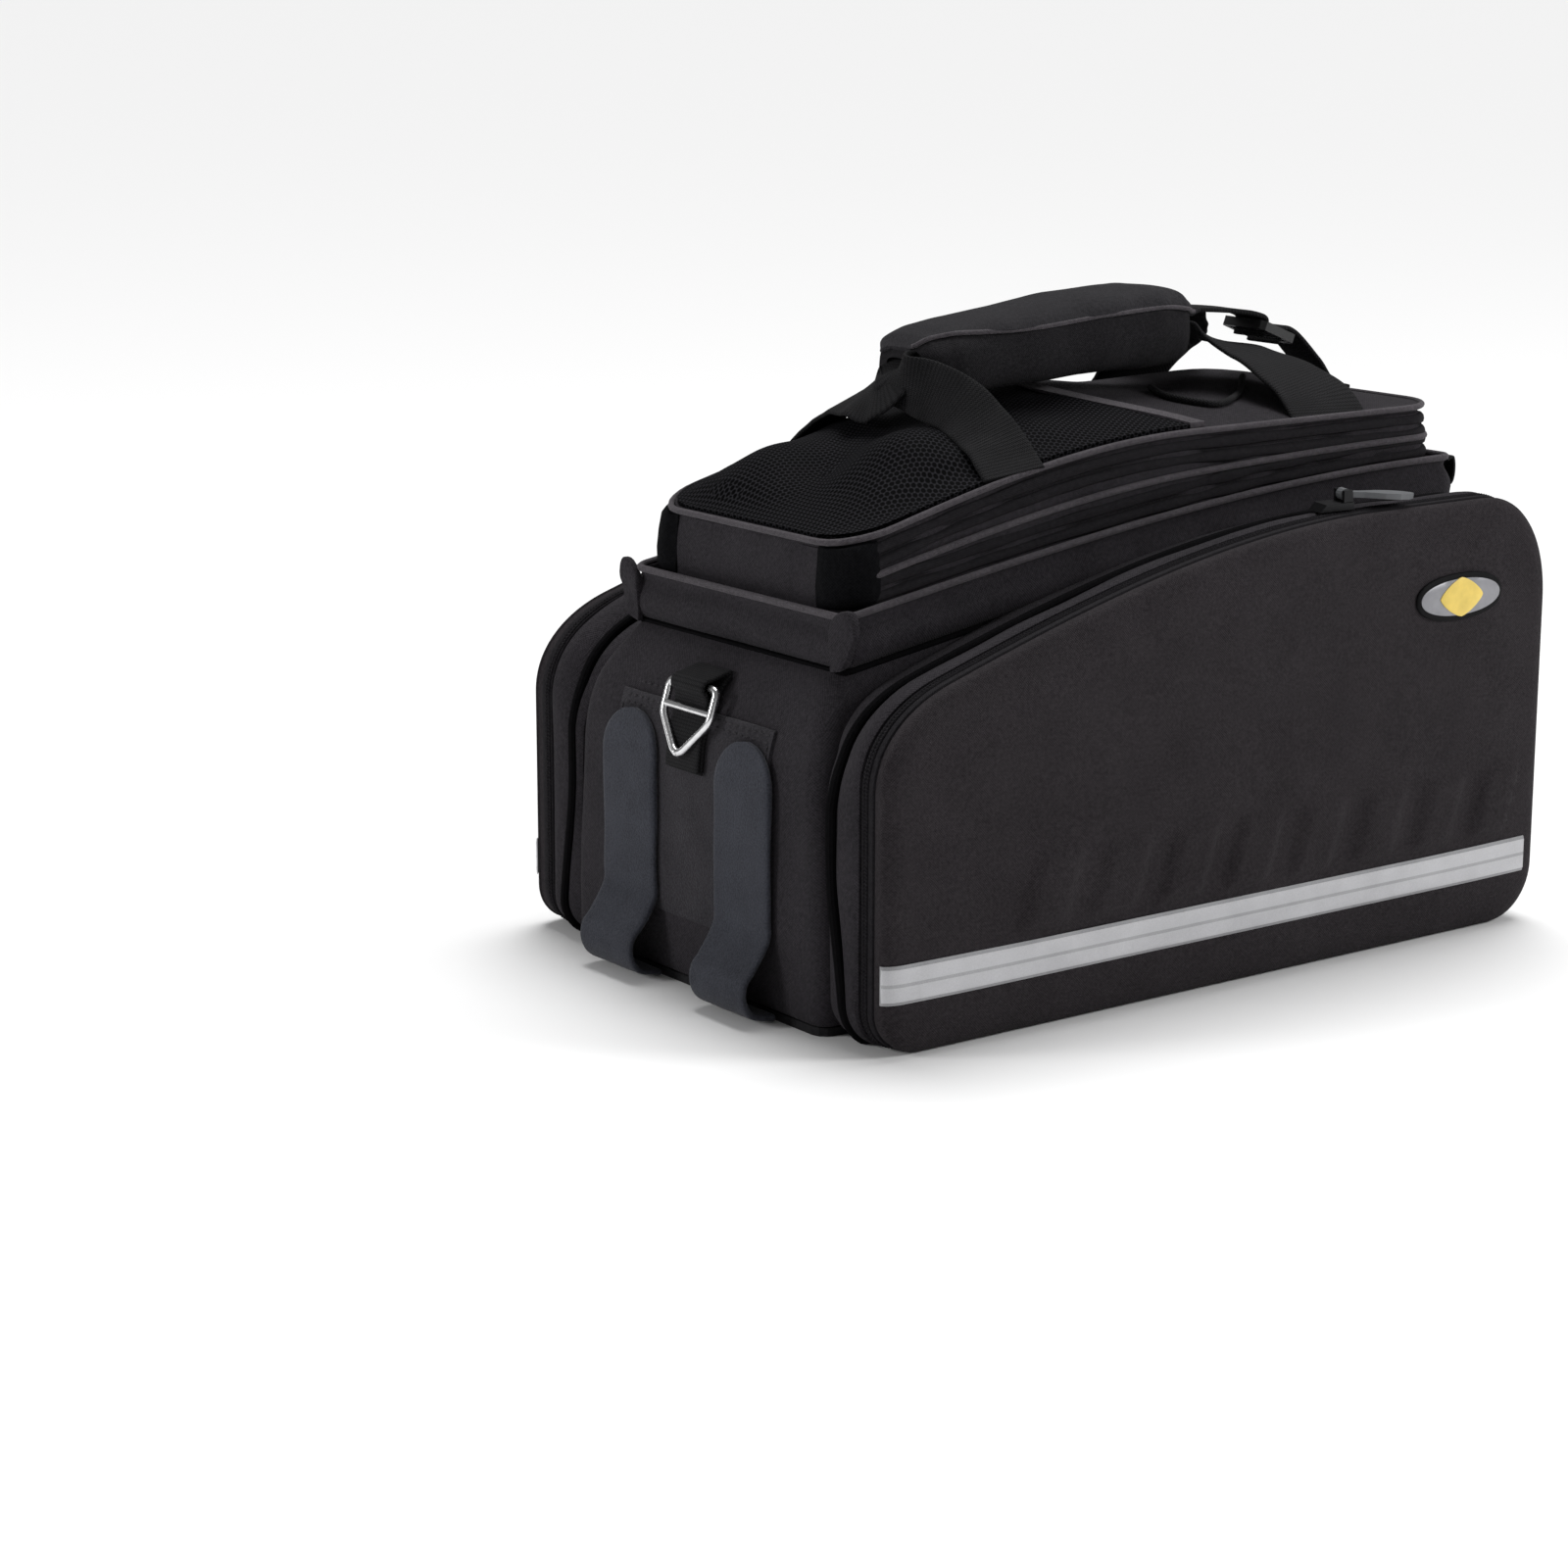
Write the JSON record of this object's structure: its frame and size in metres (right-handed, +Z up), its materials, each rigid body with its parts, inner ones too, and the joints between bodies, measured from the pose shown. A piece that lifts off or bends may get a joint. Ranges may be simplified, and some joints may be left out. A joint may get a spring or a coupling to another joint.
{
  "type": "bicycle trunk bag",
  "caption": "Padded bicycle rack bag with moulded side panniers, a domed zipped lid with a mesh pocket, a grab handle with an adjusting strap, shoulder-strap rings and rack straps",
  "frame": {"origin": "middle of the bottom of the whole bag, on the surface that it rests on", "axes": "+X to the rear of the bag, +Y to its right side, +Z up"},
  "size_m": [0.3864, 0.26, 0.274],
  "materials": {
    "body_fabric": "matte woven",
    "padded_fabric": "matte woven over foam",
    "board_plastic": "matte",
    "piping": "matte",
    "mesh": "open knit",
    "zipper": "woven tape with coil teeth",
    "webbing": "ribbed webbing",
    "hook_and_loop": "short pile",
    "reflective_tape": "silver, slightly glossy",
    "badge_print": "satin",
    "black_plastic": "satin",
    "grey_plastic": "satin",
    "ring_steel": "polished"
  },
  "bodies": {
    "bag": {"base_board": "board_plastic", "main_compartment": "body_fabric", "collar_band": "body_fabric", "collar_piping": "piping", "expansion_band": "body_fabric", "expansion_zipper": "zipper", "lid_zipper": "zipper", "lid": "body_fabric", "lid_piping": "piping", "lid_mesh_pocket": "mesh", "mesh_binding": "piping", "zipper_end_left": "webbing", "zipper_end_right": "webbing", "pannier_gusset_left": "body_fabric", "pannier_gusset_right": "body_fabric", "pannier_zipper_left": "zipper", "pannier_zipper_right": "zipper", "pannier_shell_left": "body_fabric", "pannier_shell_right": "body_fabric", "reflective_stripe_left": "reflective_tape", "reflective_stripe_right": "reflective_tape", "badge_left": "badge_print", "badge_right": "badge_print", "pannier_slider_left": "black_plastic", "pannier_slider_right": "black_plastic", "loop_patch": "hook_and_loop", "rack_strap_left": "hook_and_loop", "rack_strap_right": "hook_and_loop", "d_ring_tab_front": "webbing", "d_ring_tab_rear": "webbing", "handle_strap_left": "webbing", "handle_strap_right": "webbing", "handle_grip": "padded_fabric", "adjuster_strap_upper": "webbing", "ladder_lock": "black_plastic", "adjuster_strap_lower": "webbing"},
    "front_ring": {"d_ring_front": "ring_steel"},
    "rear_ring": {"d_ring_rear": "ring_steel"},
    "left_pull": {"pannier_pull_left": "grey_plastic"},
    "right_pull": {"pannier_pull_right": "grey_plastic"}
  },
  "joints": [
    {"name": "front_ring_swing", "type": "hinge", "parent": "bag", "child": "front_ring", "pos_m": [-0.17706, 0, 0.128], "axis": [0, 1, 0], "range_deg": [0, 150]},
    {"name": "rear_ring_swing", "type": "hinge", "parent": "bag", "child": "rear_ring", "pos_m": [0.18894, 0, 0.128], "axis": [0, -1, 0], "range_deg": [0, 150]},
    {"name": "left_pull_turn", "type": "hinge", "parent": "bag", "child": "left_pull", "pos_m": [0.077, -0.10959, 0.19632], "axis": [-0.2417, -0.9703, -0.0109], "range_deg": [0, 110]},
    {"name": "right_pull_turn", "type": "hinge", "parent": "bag", "child": "right_pull", "pos_m": [0.077, 0.10959, 0.19632], "axis": [0.2417, -0.9703, 0.0109], "range_deg": [0, 110]}
  ]
}
